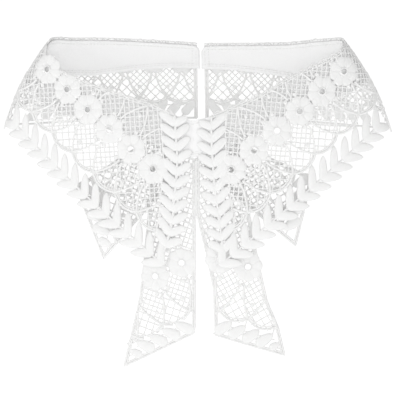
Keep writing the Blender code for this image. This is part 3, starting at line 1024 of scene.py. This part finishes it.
def row_leaves(lace, start, end, count, kept, hand, half):
    """Slanted leaves beside a straight edge, joined to its cord and to the net by short bars."""
    along = (end - start).normalized()
    inward = left_of(along) * hand
    angle = math.atan2(along.y, along.x) + ROW_SLANT * hand
    slant = heading(angle)
    for k in range(count):
        foot = start + along * ROW_PITCH * k
        root = foot + inward * ROW_INSET
        length = ROW_LEAF
        while length > ROW_LEAF_LEAST and not lace.in_ground(root + slant * (length + LEAF_ROOM)):
            length *= 0.9
        if length <= ROW_LEAF_LEAST:
            continue
        lace.leaf(root, angle, length, half * (0.4 + 0.6 * length / ROW_LEAF), 0.0)
        tip = root + slant * (length - TIP_LAP)
        reach = BAR_LEAST
        while reach < BAR_MOST and not kept(tip + inward * reach):
            reach += BAR_STEP
        side = root + slant * (length - SIDE_BAR[0])
        lace.wire(resampled([foot - along * ROOT_BAR[0], root + slant * ROOT_BAR[1]]), BAR_CORD)
        lace.wire(resampled([tip, tip + inward * (reach + BAR_LAP)]), BAR_CORD)
        lace.wire(resampled([side, side + along * SIDE_BAR[1] + inward * SIDE_BAR[2]]), SIDE_BAR_CORD)


class FrontFalls(bpy.types.Operator):
    """Left and right front falls, with their leaf columns, leaf borders and flowers"""

    bl_idname = "collar.front_falls"
    bl_label = "Front falls"

    def execute(self, context):
        for word, side in SIDES.items():
            self.fall(word, side)
        return {"FINISHED"}

    def fall(self, word, side):
        vein = column_vein(word)
        roll, seam, border, column = front_ground(side, vein)
        lace = Lace(f"lace_front_{word}", drape, side, roll + seam + border + column[:-1], FRONT_ROW)

        def kept(point):
            beside_column = point.x < arc_at(vein, point.y) + COLUMN_REACH
            return not beside_column and lace.in_repeat(point, beside_seam(point))

        lace.fill(kept)
        self.leaves(lace, vein)
        cord = lace.sizes.cord
        bound_edges(lace, roll, seam, -1)
        lace.wire(resampled(border), cord)
        lace.wire(resampled(border[-1:] + column), cord * EDGE_SHARE)
        beside = [point + Vector((COLUMN_REACH, 0)) for point in reversed(column)]
        lace.line(beside, cord * RAIL_SHARE, lace.in_ground)
        lace.finish(f"front_fall_{word}", BORDER_PAIRS + COLUMN_PAIRS)

    def leaves(self, lace, vein):
        """Pairs of leaves down the column and up the border."""
        for k, root in enumerate(vein):
            along = (vein[max(k - 1, 0)] - vein[min(k + 1, len(vein) - 1)]).normalized()
            upward = math.atan2(along.y, along.x)
            for kind in (COLUMN_OUTER, COLUMN_INNER if k else COLUMN_TOP):
                lace.leaf(root, upward + kind["turn"], kind["length"], kind["half"], tip=COLUMN_TIP)
        for k in range(BORDER_PAIRS):
            lace.leaf(border_root(k), OUTWARD_ANGLE, overlap=OUTWARD_OVERLAP)
            lace.leaf(border_root(k), UPRIGHT_ANGLE, UPRIGHT_LENGTH, UPRIGHT_HALF)


class BackFalls(bpy.types.Operator):
    """Left and right back falls, with straight corded edges and a leaf row above the hem"""

    bl_idname = "collar.back_falls"
    bl_label = "Back falls"

    def execute(self, context):
        for word, side in SIDES.items():
            self.fall(word, side)
        return {"FINISHED"}

    def fall(self, word, side):
        roll, seam, hem = back_ground(side)
        lace = Lace(f"lace_back_{word}", drape_back, side, roll + seam + hem, BACK_ROW)

        def kept(point):
            return lace.in_repeat(point, beside_seam(point))

        lace.fill(kept, upper=False)
        for k in range(BACK_ROW_LEAVES):
            arcs = (BACK_ROW_START + (k + 1) * ROW_PITCH, BACK_ROW_START + k * ROW_PITCH)
            start, end = (Vector((arc, hem_height(arc) + BACK_ROOT_RISE)) for arc in arcs)
            row_leaves(lace, start, end, 1, kept, -1, BACK_LEAF_HALF)
        bound_edges(lace, roll, seam, 1)
        lace.wire(resampled(hem), lace.sizes.cord * EDGE_SHARE)
        lace.tape([Vector((BACK_EDGE, roll[0].y)), Vector((BACK_EDGE, hem[-1].y))])
        lace.finish(f"back_fall_{word}")


class Tails(bpy.types.Operator):
    """Four tails that hang from under the band behind the front falls"""

    bl_idname = "collar.tails"
    bl_label = "Tails"

    def execute(self, context):
        for word, side in SIDES.items():
            long_end = LONG_END[word]
            self.tail("long", word, side, LONG_ROOTS, LONG_TAILS, long_end, LONG_ROWS, LONG_TAIL_LAYER)
            self.tail("short", word, side, SHORT_ROOTS, SHORT_TAILS, SHORT_END, SHORT_ROWS, SHORT_TAIL_LAYER)
        return {"FINISHED"}

    def tail(self, kind, word, side, roots, corners, end, rows, layer):
        """One tail, from its root under the band to the leaf row at its slanting end."""
        free = [Vector(corner) for corner in corners[word]]
        heel, tip = (free[k] for k in end)
        first, last = roots[word]
        arcs = [last + (first - last) * k / ROOT_STEPS for k in range(ROOT_STEPS + 1)]
        top = [Vector((arc, under_band(arc, side))) for arc in arcs]
        ground = top + free
        lace = Lace(f"lace_{kind}_tail_{word}", drape, side, ground, rows[word], TAIL_WALL, layer)
        edge = (tip - heel).normalized()
        middle = centre_of(ground)
        hand = 1 if edge.x * (middle.y - heel.y) > edge.y * (middle.x - heel.x) else -1
        inward = left_of(edge) * hand
        strip = inward * TAIL_STRIPS[kind]

        def kept(point):
            in_strip = (point - tip).dot(inward) < TAIL_STRIPS[kind]
            return not in_strip and lace.in_repeat(point, not lace.flowers)

        lace.fill(kept)
        row_leaves(lace, heel + edge * TAIL_ROW_START, tip, TAIL_LEAVES, kept, hand, TAIL_LEAF_HALF)
        if not lace.flowers:
            rail = [2 * heel - tip + strip, tip + strip]
            lace.line(rail, lace.sizes.cord * RAIL_SHARE, lace.in_ground, RAIL_LIFT)
        lace.tape(ground[len(top) - 1 :] + ground[:1])
        lace.wire(resampled(top), lace.sizes.cord)
        lace.finish(f"{kind}_tail_{word}")


def band_height(share):
    """Height of the neckband, which narrows to its ends at centre back."""
    way = max(0.0, (share - BAND_TAPER_START) / (1 - BAND_TAPER_START))
    return BAND_HEIGHT - BAND_TAPER * math.sin(math.pi / 2 * way)


def band_softness(share, down):
    """How far the soft cloth of the band leans in, at shares of its length and of its height."""
    return abs(BAND_SOFT * noise.noise(Vector((share * 9, down * 1.5, 1.0))))


def band_point(share, turn):
    """A point of the band: share of the way to centre back, and turn round its section from 0 to 1."""
    side = -1 if share < 0 else 1
    way = abs(share)
    loop = turn * 2 * math.pi
    down = 0.5 - 0.5 * math.copysign(abs(math.cos(loop)) ** 0.55, math.cos(loop))
    face = math.copysign(abs(math.sin(loop)) ** 0.28, math.sin(loop))
    tall = band_height(way)
    height = roll_height(way, side) - SEAM_GAP - tall * down
    edge = min(down, 1 - down) * tall
    welt = BAND_HEM_WELT if edge < BAND_HEM else 0.0
    dip = BAND_DIP * math.exp(-(((edge - BAND_HEM) / BAND_DIP_WIDTH) ** 2))
    out = BAND_MIDDLE - band_softness(share, down) + face * (BAND_HALF_WALL + welt - dip)
    rise = max(0.0, 1 - down * tall / BAND_CORNER)
    lost = BAND_CORNER * (1 - math.sqrt(1 - rise * rise))
    near = max(0.0, (way - BAND_CORNER_SHARE) / (1 - BAND_CORNER_SHARE))
    arc = way * (half_girth(height) - BAND_END) - lost * near * near
    return arc, height, out, side


class Neckband(bpy.types.Operator):
    """Woven band inside the neckline, with folded hems and rows of stitches"""

    bl_idname = "collar.neckband"
    bl_label = "Neckband"

    def execute(self, context):
        mesh = bmesh.new()
        weave = mesh.loops.layers.uv.new("weave")
        bmesh.ops.create_grid(mesh, x_segments=BAND_STATIONS, y_segments=BAND_LOOP, size=1.0)
        flat = {}
        for vert in mesh.verts:
            share = vert.co.x
            arc, height, out, side = band_point(share, (vert.co.y + 1) / 2)
            flat[vert] = (side * arc, height)
            vert.co = drape(arc, height, out, side)
        for face in mesh.faces:
            face.smooth = True
            for loop in face.loops:
                loop[weave].uv = flat[loop.vert]
        bmesh.ops.remove_doubles(mesh, verts=mesh.verts[:], dist=1e-6)
        bmesh.ops.holes_fill(mesh, edges=mesh.edges[:], sides=0)
        bmesh.ops.recalc_face_normals(mesh, faces=mesh.faces[:])
        band = new_piece("woven_neckband", mesh, ("cotton_woven",))
        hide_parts("neckband")
        girth = 2 * (half_girth(GIRTH_HEIGHT) - BAND_END)
        sewing = self.stitches(context.scene.collar_sizes.stitch)
        stations = [(k + 0.5) / BAND_STATIONS for k in range(BAND_STATIONS)]
        area = girth * sum(band_height(share) for share in stations) / BAND_STATIONS
        return {"FINISHED"}

    def stitches(self, pitch):
        """Rows of lockstitch on both faces of the band, along its edges and up its ends."""
        wires = []
        count = int(2 * half_girth(GIRTH_HEIGHT) / pitch)
        for face in (-1, 1):
            for top_inset, foot_inset in STITCH_ROWS:
                for k in range(count):
                    path = []
                    for part, lift in STITCH_PARTS:
                        share = ((k + part) / count * 2 - 1) * STITCHED_SHARE
                        depth = top_inset or band_height(abs(share)) - foot_inset
                        path.append(self.stitch_point(share, depth, face, lift))
                    wires.append((path, False))
        for face, side, inset in itertools.product((-1, 1), (-1, 1), END_INSETS):
            for k in range(END_STITCHES):
                path = []
                for part, lift in STITCH_PARTS:
                    depth = END_TOP + (k + part) * END_PITCH
                    path.append(self.stitch_point(side * (1 - inset), depth, face, lift))
                wires.append((path, False))
        mesh = bmesh.new()
        tubes = wire_mesh("band_stitches", wires)
        mesh.from_mesh(tubes)
        bpy.data.meshes.remove(tubes)
        return new_piece("band_stitches", mesh, ("cotton_thread",))

    def stitch_point(self, share, depth, face, lift):
        """A point of a stitch on a face of the band, and its thread's radius."""
        side = -1 if share < 0 else 1
        way = abs(share)
        height = roll_height(way, side) - SEAM_GAP - depth
        leaning = band_softness(share, depth / band_height(way))
        out = BAND_MIDDLE - leaning + face * (BAND_HALF_WALL + BAND_HEM_WELT + lift)
        return drape(way * (half_girth(height) - BAND_END), height, out, side), STITCH_RADIUS


class Stage(bpy.types.Operator):
    """Camera, pale floor and soft light"""

    bl_idname = "collar.stage"
    bl_label = "Stage"

    def execute(self, context):
        scene = context.scene
        scene.view_settings.view_transform = "Standard"
        scene.view_settings.gamma = PICTURE_GAMMA
        level = math.cos(CAMERA_RISE)
        away = Vector((math.sin(CAMERA_TURN) * level, -math.cos(CAMERA_TURN) * level, math.sin(CAMERA_RISE)))
        data = bpy.data.cameras.new("photo_camera")
        data.sensor_width = SENSOR
        data.lens = SENSOR * CAMERA_AWAY / (PHOTO_SIZE * PIXEL)
        data.clip_end = 60.0
        camera = bpy.data.objects.new("photo_camera", data)
        camera.location = CAMERA_AIM + away * CAMERA_AWAY
        camera.rotation_euler = (-away).to_track_quat("-Z", "Y").to_euler()
        scene.collection.objects.link(camera)
        scene.camera = camera
        mesh = bmesh.new()
        bmesh.ops.create_grid(mesh, x_segments=8, y_segments=8, size=FLOOR_REACH)
        bmesh.ops.translate(mesh, verts=mesh.verts[:], vec=(0, 0, FLOOR_HEIGHT))
        plane = bpy.data.meshes.new("floor")
        mesh.to_mesh(plane)
        mesh.free()
        plane.materials.append(material_of("pale_floor"))
        floor = bpy.data.objects.new("floor", plane)
        scene.collection.objects.link(floor)
        for lamp in LIGHTS:
            self.light(*lamp)
        world = bpy.data.worlds.new("soft_white")
        world.use_nodes = True
        sky = world.node_tree.nodes["Background"]
        sky.inputs["Color"].default_value = (1, 1, 1, 1)
        sky.inputs["Strength"].default_value = WORLD_STRENGTH
        scene.world = world
        return {"FINISHED"}

    def light(self, name, place, size, power):
        """A round area light that looks at the collar."""
        data = bpy.data.lights.new(name, "AREA")
        data.shape = "DISK"
        data.size = size
        data.energy = power
        lamp = bpy.data.objects.new(name, data)
        lamp.location = place
        lamp.rotation_euler = (CAMERA_AIM - Vector(place)).to_track_quat("-Z", "Y").to_euler()
        bpy.context.scene.collection.objects.link(lamp)


class CollarPanel(bpy.types.Panel):
    """Lists the collar's pieces and sizes"""

    bl_idname = "VIEW3D_PT_collar"
    bl_label = "Lace collar"
    bl_space_type = "VIEW_3D"
    bl_region_type = "UI"
    bl_category = "Collar"

    def draw(self, context):
        for group in (context.scene.collar_sizes, context.scene.collar_looks):
            for name in group.__annotations__:
                self.layout.prop(group, name)
        for operator in OPERATORS:
            self.layout.operator(operator.bl_idname)


OPERATORS = (Stage, Neckband, FrontFalls, BackFalls, Tails)
GROUPS = (CollarSizes, CollarLooks)


def register():
    for part in (*GROUPS, *OPERATORS, CollarPanel):
        bpy.utils.register_class(part)
    bpy.types.Scene.collar_sizes = bpy.props.PointerProperty(type=CollarSizes)
    bpy.types.Scene.collar_looks = bpy.props.PointerProperty(type=CollarLooks)


def unregister():
    del bpy.types.Scene.collar_looks
    del bpy.types.Scene.collar_sizes
    for part in reversed((*GROUPS, *OPERATORS, CollarPanel)):
        bpy.utils.unregister_class(part)


def main():
    register()
    bpy.ops.collar.stage()
    bpy.ops.collar.neckband()
    bpy.ops.collar.front_falls()
    bpy.ops.collar.back_falls()
    bpy.ops.collar.tails()


if __name__ == "__main__":
    main()
